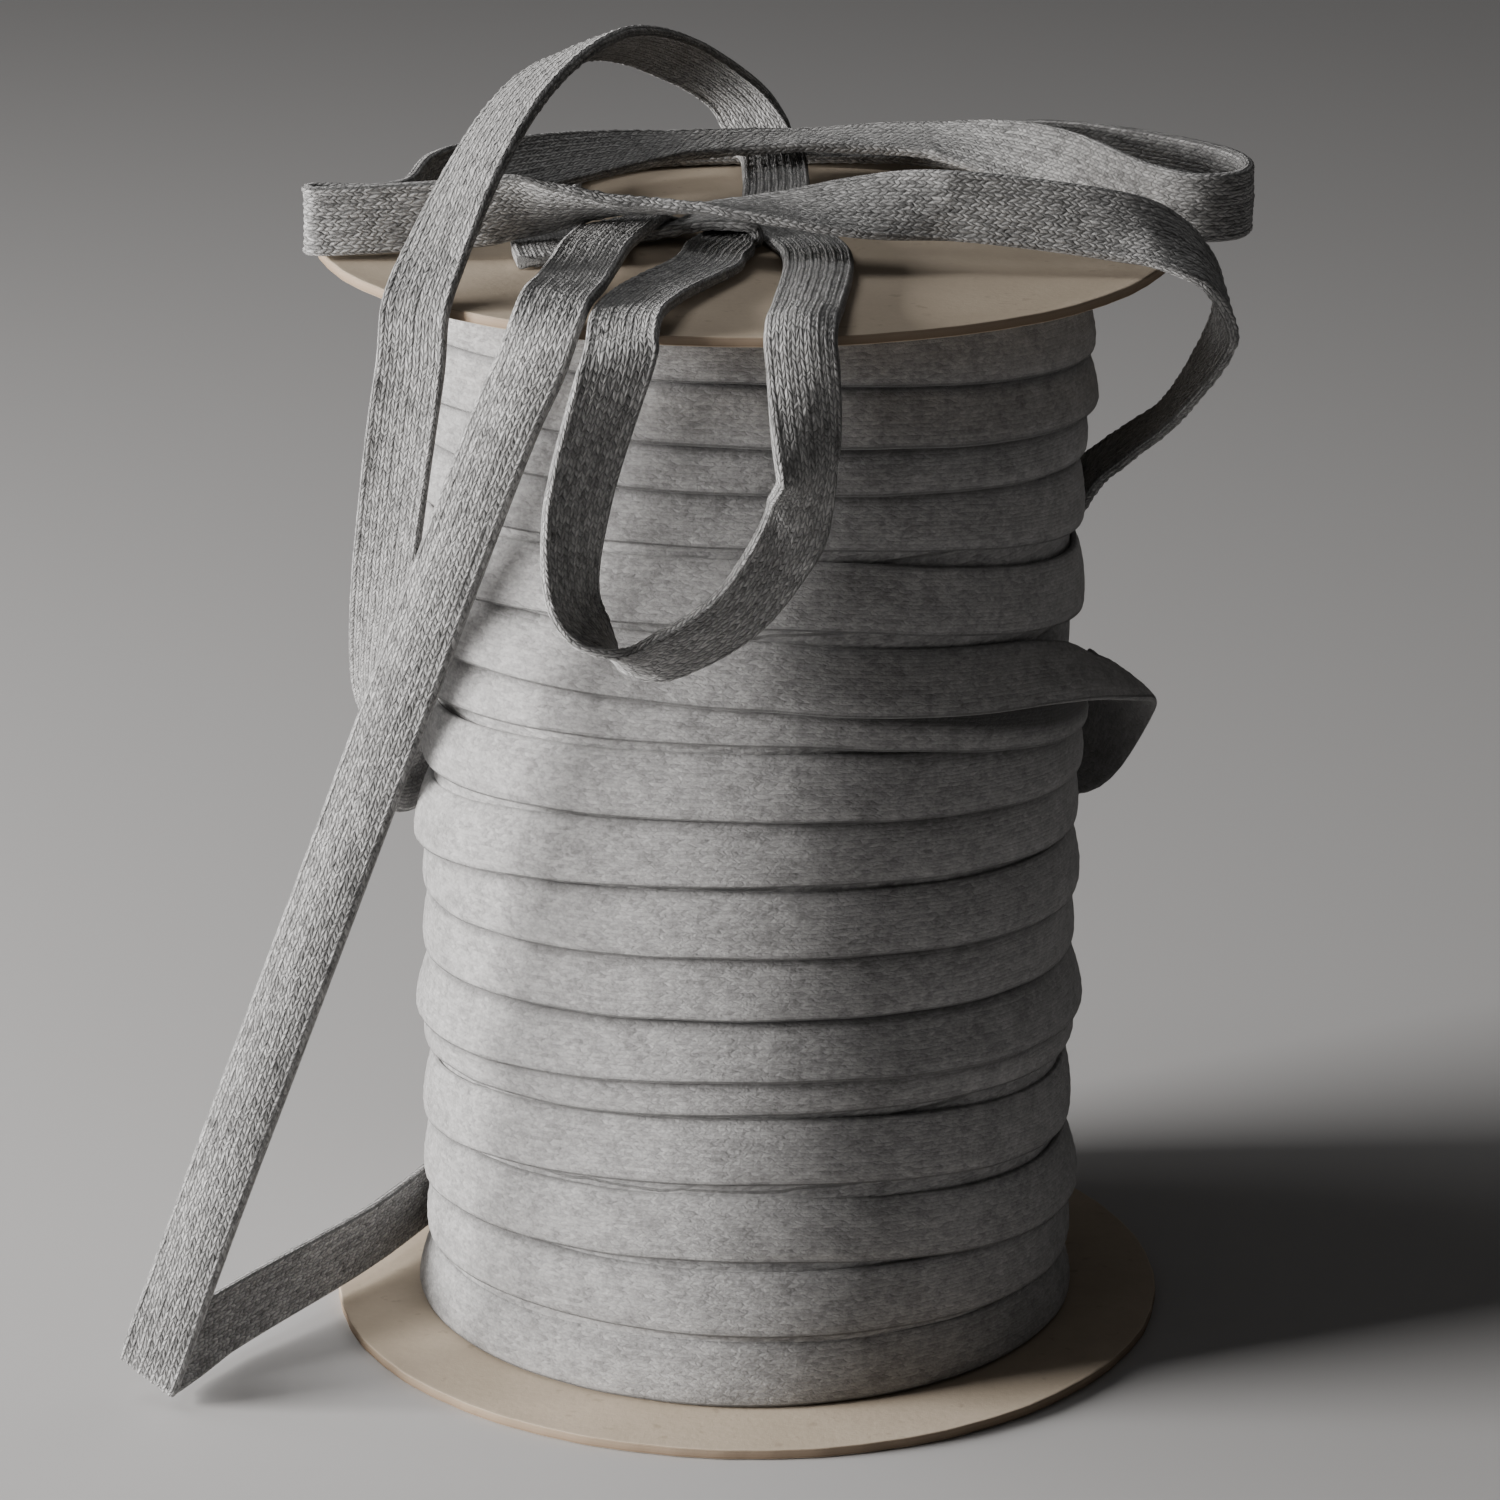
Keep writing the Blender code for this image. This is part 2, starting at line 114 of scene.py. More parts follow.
# The cord
CORD_WIDTH = 10.0
CORD_THICKNESS = 1.6
STITCH_LENGTH = 1.15
HALF_RIB = 0.555              # width of one leaning column of stitches
RIBS = 9                      # lengthwise ribs on each face
RIB_POINTS = 3                # points across one rib
RIB_POWER = 0.8               # below 1, ribs are full and the valleys between them narrow
EDGE_POINTS = 3               # points round each long edge
EDGE_START = 0.955            # where the rounded edge begins, in half widths
EDGE_DEPTH = 0.95             # its depth, as a share of the face beside it
RIM_PLACE = 0.88              # middle of the thicker rim along each edge, in half widths
RIM_SPREAD = 0.07
PLAIN_POINTS = (0.85, 0.3, -0.3, -0.85)   # across a lower face without ribs, in half widths
PLAIN_DEPTH = 0.85            # of that face, as a share of half the thickness
STITCHED = 0.95               # half width within which stitches stand up
STITCH_STEADY = 0.55          # every second stitch up and the next down
STITCH_UNEVEN = 0.6           # and each by chance
STITCH_SEED = 21
SKEW_LIMIT = 0.3              # least square of the sine between the cord's way and its width

# Form of the loose cord and of the wound turns: ribs on the lower face too, how much thinner it gets
# towards its edges, height of its ribs and of its rim, and how far single stitches stand up or sink in
LOOSE_FORM = {"ribs_below": True, "crown": 0.10, "ribs": 0.10, "rim": 0.12, "grain": 0.13}
WOUND_FORM = {"ribs_below": False, "crown": 0.50, "ribs": 0.03, "rim": 0.0, "grain": 0.05}

# Look of the loose cord and of the wound turns: colours of dark and light stitches, depth of the
# stitches' relief, contrast between stitches, shares of soft clouds and of fibres along the stitches,
# painted shade where a stitch dives, and strength of the long grooves (relief and painted shade)
LOOSE_LOOK = {
    "dark": (0.045, 0.0445, 0.044), "light": (0.66, 0.651, 0.643), "relief": 0.22, "contrast": 0.98,
    "clouding": 0.16, "streaks": 0.16, "painted_valley_shade": 0.36, "grooves": 0.6,
}
WOUND_LOOK = {
    "dark": (0.13, 0.127, 0.126), "light": (0.56, 0.55, 0.545), "relief": 0.05, "contrast": 0.80,
    "clouding": 0.44, "streaks": 0.06, "painted_valley_shade": 0.86, "grooves": 0.15,
}
CORD_SURFACE = {
    "Roughness": 0.95, "Specular IOR Level": 0.18, "Sheen Weight": 0.5, "Sheen Roughness": 0.6,
    "Sheen Tint": (0.92, 0.91, 0.90, 1.0),
}

# Pattern of the braid, in ribs, stitches or shares of a tone where nothing else is said
WANDER_SCALE = 0.30           # slow drift of ribs and stitches, per millimetre
RIB_WANDER = 0.9
STITCH_WANDER = 2.2
STITCH_LEAN = 0.62
RIB_SHIFT = 0.37              # of the stitches from one rib to the next
EVEN_OFFSET = 128.0           # keeps the number of a column above nought
PILLOW_POWER = 0.6
PILLOW_TOP = 0.7              # height from which a stitch gets no painted shade
STITCH_TONE = 0.24
SPECKS_TONE = 0.60
TONE_SPREAD = 0.24            # half the range of tones from dark to light, at a contrast of 1
FIBRES_ALONG, FIBRES_ACROSS, FIBRES_LEAN = 2.6, 5.5, 2.8    # per millimetre
FIBRES = (1.0, 3.0, 0.7)      # scale, detail and roughness of their noise
SPECKS = (1300.0, 3.0, 0.75)
CLOUDS = (230.0, 3.0, 0.6)
GROOVE_ALONG, GROOVE_ACROSS = 0.05, 1.05                    # per millimetre
GROOVE = (1.0, 1.0)
GROOVE_RANGE = (0.55, 0.68)
GROOVE_SHADE = 0.30
GROOVE_DEPTH = 0.9
DEEPEST_PAINTED_SHADE = 0.14            # painted shade of a point that lies deep in a groove of the winding, as a share of its colour
FUZZ_SPECKS = 1.2
FUZZ_RELIEF = 0.11

# The winding; its turns are counted in rows of TURNS, from nought at the left of the first
WIND_STEP = 2.0               # between rings
WIND_START = 0.92
WIND_END = 17.80
BASE_RADIUS = 48.0            # middle of a turn that lies flat
LEAN_OUT = 0.50               # how far a turn's lower edge stands out
LEAN_IN = 0.50                # and its upper edge tucks in
LAP_OUT = 1.00                # further stand-off of an edge that lies over the turn below
LAP_RANGE = 2.5               # overlap at which it stands off in full
PROUD_LAP = 0.7               # share of a turn's own "proud" that adds to it
PROUD_ABOVE = 0.6             # share of the next turn's that tucks the upper edge in
WOUND_WIDTH = 0.985           # width of a turn, as a share of the cord's
STEEPEST = 1.8                # most that a steep run may widen it
TURN_BOW = 0.25               # how far the middle of its width stands out
WOUND_MARGINS = (0.05, 0.1)   # further distance from the lower and the upper card

# Painted shade in the grooves of the winding: under the next turn's edge, at the foot over the turn
# below, and on the side that faces the roll
UNDER_REACH = 2.0
UNDER_POWER = 1.2
UNDER_PAINTED_SHADE = 0.50
UNDER_PROUD = 0.55
FOOT_REACH = 0.9
FOOT_PAINTED_SHADE = 0.60
INSIDE_MARGIN = 0.3
INSIDE_PAINTED_SHADE = 0.7

# The layer under the visible turns
LAYER_ROWS = 330
LAYER_COLUMNS = 120
LAYER_RADIUS = 46.6
LAYER_SWELL = 0.5
LAYER_PITCH = 9.3
LAYER_MARGINS = (0.1, 0.7)    # further distance from the lower and the upper card

# Smooth random waves along the cord: height, length between knots, seed
WAVES = {
    "curl": (0.22, 23.0, 11),
    "turn height": (0.30, 46.0, 3),
    "fine turn height": (0.10, 9.0, 4),
    "turn radius": (0.22, 31.0, 5),
    "fine turn radius": (0.08, 7.0, 6),
    "turn bow": (0.25, 19.0, 8),
}

# Main turns of the roll, bottom to top: heights of the lower edge at the left, front and right, and
# how much further than its neighbours that edge stands out
TURN_COLUMNS = ("left", "front", "right", "proud")
TURNS = (
    (-9.0, -8.0, -9.0, 0.3),
    (0.0, 1.5, 0.0, 0.3),
    (11.0, 13.0, 10.6, 1.0),
    (20.0, 24.2, 18.5, 0.5),
    (29.5, 36.6, 30.5, 0.4),
    (41.5, 47.3, 43.5, 0.2),
    (46.5, 52.7, 48.5, 0.5),
    (56.5, 61.8, 58.5, 1.1),
    (66.5, 71.1, 67.5, 0.4),
    (74.0, 82.1, 78.0, 0.6),
    (87.0, 91.7, 86.5, 0.3),
    (98.5, 103.0, 93.0, 0.3),
    (107.0, 109.1, 95.8, 1.0),
    (115.5, 120.5, 110.5, 0.5),
    (127.5, 131.8, 124.0, 0.3),
    (137.0, 139.9, 134.5, 0.3),
    (145.0, 147.0, 141.5, 1.1),
    (153.5, 155.6, 150.0, 0.5),
    (162.5, 164.5, 160.0, 0.3),
    (172.0, 173.0, 170.0, 0.3),
    (181.0, 182.0, 180.0, 0.3),
)

# The slack turn and, row by row, the degrees round from the right, how far it drops there, and how
# far its lower and its upper edge stand off the roll
SLACK_TURN = 12               # its row in TURNS, counted from nought
SLACK_SMOOTHING = 9           # rings
SLACK = (
    (-180.0, 0.0, 0.0, 0.0),
    (-80.0, 0.0, 0.0, 0.0),
    (-68.0, -0.5, 0.3, 0.0),
    (-52.0, -1.9, 1.0, 0.2),
    (-34.0, -3.9, 2.2, 0.3),
    (-22.0, -4.0, 4.8, 1.4),
    (-8.0, -1.9, 9.6, 3.6),
    (0.0, 1.0, 10.5, 4.2),
    (9.7, 8.2, 10.8, 4.2),
    (13.8, 14.2, 9.8, 4.9),
    (17.2, 19.4, 8.6, 5.9),
    (21.0, 23.4, 7.4, 6.4),
    (30.0, 27.0, 5.0, 5.4),
    (45.0, 26.0, 3.2, 3.8),
    (65.0, 22.0, 2.4, 2.4),
    (95.0, 14.0, 2.3, 2.3),
    (130.0, 6.0, 2.2, 1.6),
    (160.0, 1.0, 1.0, 0.6),
    (180.0, 0.0, 0.0, 0.0),
)

# Rings of the loose cord
ROUTE_STEP = 0.15             # between samples of the route
LOOSE_STEP = 1.25             # between rings on a straight run
LOOSE_TURN = 9.0              # degrees of bend between rings in a fold

# How far the middle of the loose cord's width bows towards its face, on stretches that curl
BOW = {"right leg": 0.8, "kink": 0.5, "tail": -1.3, "left leg": 0.3, "down left": 0.5, "foot": 0.3,
       "back band": 0.4, "arch": -0.4}

# Route of the loose cord, as in the solids: stretch, a point on the middle of its width in
# millimetres, and the direction across its width
ROUTE_COLUMNS = ("stretch", "x", "y", "z", "across_x", "across_y", "across_z")
ROUTE = (
    ("leaves", -43.8, 26.3, 9, 0, 0, -1),
    ("leaves", -48, 18.2, 8.6, 0, 0, -1),
    ("leaves", -57.6, -1, 8, 0, 0.05, -1),
    ("leaves", -78.5, -30, 6, 0.22, 0.06, -0.97),
    ("floor fold", -87, -42.4, 4.3, 0.8, -0.2, -0.57),
    ("floor fold", -87.4, -44.3, 4.6, 0.8, -0.2, -0.57),
    ("floor fold", -86.9, -45.2, 6.2, 0.8, -0.2, -0.57),
    ("tail", -79.8, -45.6, 26.4, 0.86, -0.36, -0.36),
    ("tail", -55.5, -49, 92.6, 0.86, -0.36, -0.36),
    ("tail", -33.7, -56.5, 152.4, 0.86, -0.36, -0.36),
    ("tail", -30.1, -57.6, 160.6, 0.86, -0.36, -0.36),
    ("front rim", -27.9, -58.3, 166.5, 0.9, -0.37, -0.22),
    ("front rim", -26.6, -54.6, 169, 0.95, -0.3, -0.09),
    ("over top", -25, -45, 168.8, 0.96, -0.25, -0.05),
    ("over top", -23.2, -31, 168.6, 0.98, -0.18, 0),
    ("over top", -21.9, -22, 168.8, 1, -0.08, 0),
    ("fold one", -18.2, -7.5, 168.6, 0.72, 0.69, 0),
    ("fold one", -17.9, -6.1, 168.2, 0.72, 0.69, 0),
    ("fold one", -17.3, -5.1, 167.4, 0.72, 0.69, 0),
    ("fold one", -16.2, -4.5, 166.6, 0.72, 0.69, 0),
    ("fold one", -14.5, -4.3, 166.35, 0.68, 0.73, 0),
    ("between", -10, -4.9, 167.6, 0.34, 0.94, 0),
    ("between", -6.2, -5.5, 168.7, 0.05, 1, 0),
    ("fold two", -2.1, -6.3, 168.8, -0.3, 0.95, 0),
    ("fold two", -1.2, -6.4, 168.5, -0.3, 0.95, 0),
    ("fold two", -0.7, -6.6, 167.6, -0.3, 0.95, 0),
    ("fold two", -0.9, -7.1, 166.7, -0.3, 0.95, 0),
    ("fold two", -1.7, -7.7, 166.45, -0.3, 0.95, 0),
    ("left leg", -4.6, -16, 166.5, -0.56, 0.83, 0),
    ("left leg", -6.6, -26, 166.7, -0.7, 0.71, 0),
    ("left leg", -14.2, -45, 167.2, -0.91, 0.42, 0),
    ("left leg", -17.1, -60, 167.5, -0.99, 0.15, -0.06),
    ("left leg", -17.4, -62.4, 165.8, -0.98, 0.1, -0.15),
    ("hanging U", -17.8, -65.4, 164, -0.98, -0.1, -0.18),
    ("hanging U", -23.6, -65, 142.4, -0.89, -0.45, -0.1),
    ("hanging U", -24.1, -63.4, 128.9, -0.6, -0.79, -0.12),
    ("hanging U", -21.7, -62.6, 124.1, -0.35, -0.93, -0.1),
    ("hanging U", -17.6, -61.8, 120.1, 0.05, -0.88, 0.47),
    ("hanging U", -12.4, -61, 120.2, -0.1, -0.57, 0.82),
    ("hanging U", -2.2, -60.5, 126.2, -0.47, -0.45, 0.76),
    ("hanging U", 5.3, -62, 137.7, -0.6, -0.34, 0.72),
    ("hanging U", 6.8, -64.2, 143.2, -0.7, -0.52, 0.34),
    ("kink", 7.6, -66.4, 147.8, -0.76, -0.62, -0.12),
    ("kink", 7.7, -66.5, 149.2, -0.8, -0.58, -0.12),
    ("right leg", 7.5, -65.7, 153.2, -0.92, -0.38, -0.1),
    ("right leg", 6.9, -64.5, 161.5, -1, 0, -0.03),
    ("right leg", 6.5, -63.9, 165.6, -1, 0, -0.03),
    ("right leg", 6.6, -61.5, 167.45, -1, 0, -0.03),
    ("foot", 7.7, -48, 166.9, -1, 0, 0),
    ("foot", 9, -18, 166.5, -0.99, 0.12, 0),
    ("foot", 4, 2, 166.4, -1, 0, 0),
    ("foot", 3.4, 30, 166.4, -1, 0, 0),
    ("foot", 2.9, 40, 167.5, -1, 0, 0),
    ("arch", 1.5, 44.8, 168, -0.99, 0.14, -0.05),
    ("arch", 0.1, 47.2, 171.1, -0.96, 0.24, -0.12),
    ("arch", -2, 46.5, 174.7, -0.92, 0.31, -0.23),
    ("arch", -10.7, 34, 183.4, -0.72, 0.45, -0.52),
    ("arch", -21.4, 9, 191.1, -0.59, 0.65, -0.49),
    ("arch", -30.6, -12, 190.1, -0.56, 0.82, -0.16),
    ("arch", -37.7, -29, 183.1, -0.64, 0.76, 0),
    ("down left", -44.6, -44.4, 169.9, -0.94, 0.33, -0.03),
    ("down left", -45.6, -46.6, 167.4, -0.94, 0.34, 0),
    ("down left", -46.2, -47.2, 165, -0.94, 0.34, 0),
    ("down left", -46.8, -47.2, 158, -0.95, 0.32, 0),
    ("down left", -48.3, -45.5, 148.1, -0.95, 0.32, 0),
    ("down left", -51.5, -36.5, 125.1, -0.86, 0.5, 0.02),
    ("down left", -54.6, -19, 100.1, -0.52, 0.82, 0.22),
    ("down left", -54.5, -9, 89.4, -0.22, 0.8, 0.55),
    ("down left", -53.4, 3, 80.8, 0, 0.4, 0.92),
    ("down left", -50.4, 14, 77.5, 0, 0.12, 0.99),
    ("behind", -40, 33.6, 79.5, 0, 0, 1),
    ("behind", -30.3, 43.3, 83, 0, 0, 1),
    ("behind", -18.2, 50, 87.5, 0, 0, 1),
    ("behind", -4.7, 53.2, 92.5, 0, 0, 1),
    ("behind", 9.3, 52.6, 98, 0, 0, 1),
    ("behind", 22.6, 48.4, 104, 0, 0, 1),
    ("behind", 42.3, 31.9, 116, 0, 0.05, 1),
    ("up right", 48.3, 21.3, 120.5, 0.14, 0.36, 0.92),
    ("up right", 53.4, 10, 129.4, 0.4, 0.68, 0.62),
    ("up right", 58.4, 3, 135.6, 0.46, 0.69, 0.56),
    ("up right", 63.2, -10.5, 146.1, 0.18, 0.77, 0.61),
    ("up right", 67.2, -18.5, 157.9, -0.2, 0.85, 0.48),
    ("up right", 63.6, -23.3, 166.4, 0, 0.92, 0.38),
    ("up right", 57.3, -24, 170.7, 0.2, 0.72, 0.66),
    ("up right", 51.5, -24, 172.2, 0.1, 0.45, 0.88),
    ("front band", 27.6, -23.2, 174.9, 0, 0.1, 1),
    ("front band", 14.5, -22.2, 174.4, 0, 0.75, 0.66),
    ("front band", 4.5, -20.5, 173.6, 0, 0.98, 0.18),
    ("twist", -7, -17.1, 172.9, 0, 0.97, -0.23),
    ("twist", -14, -15.4, 172.75, 0, 0.95, -0.32),
    ("twist", -20, -15.2, 172.8, 0, 0.92, -0.4),
    ("twist", -24.5, -15.5, 172.8, 0, 0.8, -0.6),
    ("twist", -29, -15.8, 172.6, 0, 0.58, -0.81),
    ("front band", -33.5, -16.4, 172.75, 0, 0.25, -0.97),
    ("front band", -38, -17, 172.2, 0, 0, -1),
    ("tight fold", -61.6, -18.3, 171, 0, 0, -1),
    ("tight fold", -62.4, -17.9, 171, 0, 0, -1),
    ("tight fold", -62.8, -17.1, 171, 0, 0, -1),
    ("tight fold", -62.4, -16.3, 171, 0, 0, -1),
    ("tight fold", -61.6, -15.9, 171, 0, 0, -1),
    ("back band", -53.5, -15.2, 170.8, 0, 0, -1),
    ("back band", -49.6, -12.2, 170.8, 0, 0, -1),
    ("back band", -46, 2.5, 171.3, 0, -0.15, -0.99),
    ("back band", -34.5, 13.5, 171.6, 0.12, -0.81, -0.57),
    ("back band", -11.5, 33.2, 170.4, 0.2, -0.97, -0.12),
    ("back band", 8, 37, 170.6, 0, -1, 0),
    ("back band", 27.5, 35.6, 171, -0.28, -0.93, -0.25),
    ("right loop", 44.5, 20.5, 171.3, -0.25, -0.35, -0.9),
    ("right loop", 57, 0.6, 170.7, 0, 0, -1),
    ("right loop", 63.5, -5, 170.5, 0, 0, -1),
    ("right loop", 69.6, -3.2, 170.5, 0, 0, -1),
    ("right loop", 71.6, 3, 170.6, 0, 0, -1),
    ("far rim", 69.4, 10, 170.8, 0, -0.05, -1),
    ("far rim", 53, 24, 171, -0.1, -0.2, -0.97),
    ("far rim", 33, 41, 168.9, -0.32, -0.84, -0.44),
    ("far rim", 23, 47.5, 167.3, -0.25, -0.95, -0.2),
    ("far rim", 0, 51, 165.75, 0, -1, 0),
    ("far rim", -18.5, 46.6, 165.8, 0.3, -0.95, 0),
    ("end run", -29.3, 34.6, 165.9, 0.89, -0.46, 0),
    ("end run", -30.6, 25.5, 166, 0.99, -0.1, 0),
    ("end run", -29.4, -14, 166.5, 0.99, 0.12, 0),
    ("end run", -28.2, -23, 166.5, 0.99, 0.12, 0),
)


def blend(a, b, share):
    return a * (1 - share) + b * share


def ease(share):
    """Even start and end for a share that runs from 0 to 1."""
    return share * share * (3 - 2 * share)


def unit(vectors):
    return vectors / np.linalg.norm(vectors, axis=1)[:, None]


def running(steps):
    """Sum up to every point, from nought at the first and the steps between points."""
    return np.concatenate([[0.0], np.cumsum(steps)])


def waves(x, kind):
    """Smooth random waves along x, by height, length and seed."""
    height, length, seed = WAVES[kind]
    values = np.random.default_rng(seed).uniform(-1, 1, int(np.max(x) / length) + 4)
    knot = (x / length).astype(int)
    return height * blend(values[knot], values[knot + 1], ease(x / length - knot))


def named_rows(columns, rows):
    """A table's rows as dictionaries by column name."""
    return [dict(zip(columns, row)) for row in rows]


class Nodes:
    """Short way to lay out a shader."""

    def __init__(self, name):
        self.material = bpy.data.materials.new(name)
        self.material.use_nodes = True
        self.tree = self.material.node_tree
        self.shader = self.tree.nodes["Principled BSDF"]

    def new(self, kind, **settings):
        node = self.tree.nodes.new(kind)
        for key, value in settings.items():
            setattr(node, key, value)
        return node

    def put(self, socket, value):
        if isinstance(value, bpy.types.NodeSocket):
            self.tree.links.new(value, socket)
        else:
            socket.default_value = value

    def fill(self, node, values):
        """Values or links for a node's inputs, by name or number."""
        for key, value in values.items():
            self.put(node.inputs[key], value)

    def math(self, operation, *values):
        node = self.new("ShaderNodeMath", operation=operation)
        self.fill(node, dict(enumerate(values)))
        return node.outputs[0]

    def plus(self, first, *others):
        for other in others:
            first = self.math("ADD", first, other)
        return first

    def minus(self, a, b):
        return self.math("SUBTRACT", a, b)

    def times(self, a, b):
        return self.math("MULTIPLY", a, b)

    def vector(self, x, y, z):
        node = self.new("ShaderNodeCombineXYZ")
        self.fill(node, {0: x, 1: y, 2: z})
        return node.outputs[0]

    def split(self, vector):
        node = self.new("ShaderNodeSeparateXYZ")
        self.put(node.inputs[0], vector)
        return node.outputs

    def attribute(self, name, output):
        return self.new("ShaderNodeAttribute", attribute_name=name).outputs[output]

    def place(self):
        return self.new("ShaderNodeTexCoord").outputs["Object"]

    def noise(self, place, scale, detail=2.0, roughness=0.5):
        node = self.new("ShaderNodeTexNoise")
        self.fill(node, {"Vector": place, "Scale": scale, "Detail": detail, "Roughness": roughness})
        return node.outputs["Fac"]

    def random(self, place):
        node = self.new("ShaderNodeTexWhiteNoise", noise_dimensions="3D")
        self.put(node.inputs["Vector"], place)
        return node.outputs["Value"]

    def remap(self, value, low, high, to_low, to_high):
        node = self.new("ShaderNodeMapRange", interpolation_type="LINEAR")
        self.fill(node, dict(enumerate((value, low, high, to_low, to_high))))
        return node.outputs[0]

    def mix(self, share, a, b, how="MIX"):
        """Colour b over colour a. The node's inputs 6 and 7 and its output 2 are its colours."""
        node = self.new("ShaderNodeMix", data_type="RGBA", blend_type=how)
        self.fill(node, {0: share, 6: a, 7: b})
        return node.outputs[2]

    def bump(self, height, millimetres, after=None):
        """Relief where a height of 1 stands so many millimetres up, on top of an earlier one."""
        node = self.new("ShaderNodeBump")
        self.fill(node, {"Height": height, "Distance": millimetres * MM, "Strength": 1.0})
        if after is not None:
            self.put(node.inputs["Normal"], after)
        return node.outputs[0]


def tinted(colour, tint=(1.0, 1.0, 1.0)):
    """A colour times a tint, with full cover."""
    return (*(part * share for part, share in zip(colour, tint)), 1.0)


def braid_pattern(n, along, across, piece):
    """Cells of the braid: number of stitch and column, the column's lean, and a pillow on each stitch.

    Stitches lean one way and the other in neighbouring half ribs, like the strands of a braid.
    """
    wander = n.noise(n.vector(n.times(along, WANDER_SCALE), n.times(across, WANDER_SCALE), piece), 1.0)
    rib = n.plus(n.math("DIVIDE", across, HALF_RIB), n.times(wander, RIB_WANDER))
    column = n.math("FLOOR", rib)
    inside = n.minus(rib, column)
    odd = n.math("MODULO", n.plus(column, EVEN_OFFSET), 2.0)
    lean = n.minus(n.times(odd, 2.0), 1.0)
    phase = n.plus(n.math("DIVIDE", along, STITCH_LENGTH),
                   n.times(lean, n.times(inside, STITCH_LEAN)),
                   n.times(wander, STITCH_WANDER),
                   n.times(n.math("FLOOR", n.math("DIVIDE", column, 2.0)), RIB_SHIFT))
    stitch = n.math("FLOOR", phase)
    in_stitch = n.minus(phase, stitch)
    pillow = n.times(n.math("SINE", n.times(in_stitch, math.pi)),
                     n.math("SINE", n.times(inside, math.pi)))
    return stitch, column, lean, n.math("POWER", n.math("MAXIMUM", pillow, 0.0), PILLOW_POWER)


def cord_material(name, dark, light, relief, contrast, clouding, streaks, painted_valley_shade, grooves):
    """Grey marl braid: short slanted stitches in fine ribs, each a little lighter or darker.

    The mesh carries the attribute "strip": millimetres along the cord, millimetres round its
    section, and a number of its own for each piece. A second attribute gives how much painted
    shade a point gets in the winding's grooves.
    """
    n = Nodes(name)
    along, across, piece = n.split(n.attribute("strip", "Vector"))
    place = n.place()
    stitch, column, lean, pillow = braid_pattern(n, along, across, piece)

    # tone: single stitches, fibres along them, soft clouds, and specks of dark and light fibre
    fibres = n.noise(n.vector(n.times(along, FIBRES_ALONG),
                              n.plus(n.times(across, FIBRES_ACROSS),
                                     n.times(n.times(lean, along), FIBRES_LEAN)),
                              piece), *FIBRES)
    specks = n.noise(place, *SPECKS)
    tone = n.plus(n.times(n.random(n.vector(stitch, column, piece)), STITCH_TONE),
                  n.times(fibres, streaks),
                  n.times(n.noise(place, *CLOUDS), clouding),
                  n.times(specks, SPECKS_TONE))
    middle = (STITCH_TONE + SPECKS_TONE + streaks + clouding) / 2
    spread = TONE_SPREAD / contrast
    share = n.remap(tone, middle - spread, middle + spread, 0.0, 1.0)
    base = n.mix(share, tinted(dark), tinted(light))

    # painted shade: where a stitch dives, in long wavy grooves between bundles of ribs, and in the
    # winding's grooves under the edge of the next turn of the roll
    groove = n.noise(n.vector(n.times(along, GROOVE_ALONG), n.times(across, GROOVE_ACROSS), piece),
                     *GROOVE)
    groove = n.remap(groove, *GROOVE_RANGE, 0.0, grooves)
    shade = n.minus(n.remap(pillow, 0.0, PILLOW_TOP, painted_valley_shade, 1.0), n.times(groove, GROOVE_SHADE))
    # painted shade in the winding's grooves, from the attribute that the winding carries
    shade = n.times(shade, n.remap(n.attribute("painted_shade_share", "Fac"), 0.0, 1.0, 1.0, DEEPEST_PAINTED_SHADE))

    coarse = n.bump(n.minus(pillow, n.times(groove, GROOVE_DEPTH)), relief)
    fuzz = n.plus(fibres, n.times(specks, FUZZ_SPECKS))
    n.fill(n.shader, {
        "Base Color": n.mix(1.0, base, shade, "MULTIPLY"),
        "Normal": n.bump(fuzz, FUZZ_RELIEF, coarse),
        **CORD_SURFACE,
    })
    return n.material


def card_material(name, colour, deep):
    """Grey-beige card: paper fibres, faint stains and flecks, and a browner cut edge."""
    n = Nodes(name)
    place = n.place()
    stains, fibres, flecks = (n.noise(place, *kind) for kind in (STAINS, PAPER_FIBRES, FLECKS))
    share = n.plus(n.times(stains, STAINS_SHARE), n.times(fibres, 1 - STAINS_SHARE))
    base = n.mix(n.remap(share, *STAINS_RANGE, 0.0, 1.0), tinted(deep), tinted(colour))
    base = n.mix(n.remap(flecks, *FLECKS_RANGE, 0.0, FLECKS_STRENGTH), base, tinted(deep, FLECK_TINT))
    upright = n.split(n.new("ShaderNodeNewGeometry").outputs["True Normal"])[2]
    cut = n.remap(n.math("ABSOLUTE", upright), *CUT_RANGE, CUT_STRENGTH, 0.0)
    n.fill(n.shader, {
        "Base Color": n.mix(cut, base, tinted(deep, CUT_TINT)),
        "Roughness": n.remap(fibres, *PAPER_FIBRES_RANGE, *PAPER_ROUGHNESS),
        "Specular IOR Level": PAPER_SPECULAR,
        "Normal": n.bump(n.plus(fibres, n.times(stains, STAINS_RELIEF)), PAPER_RELIEF),
    })
    return n.material


def floor_material():
    n = Nodes("pale floor")
    n.fill(n.shader, {"Base Color": tinted(FLOOR_COLOUR), "Roughness": FLOOR_ROUGHNESS})
    return n.material


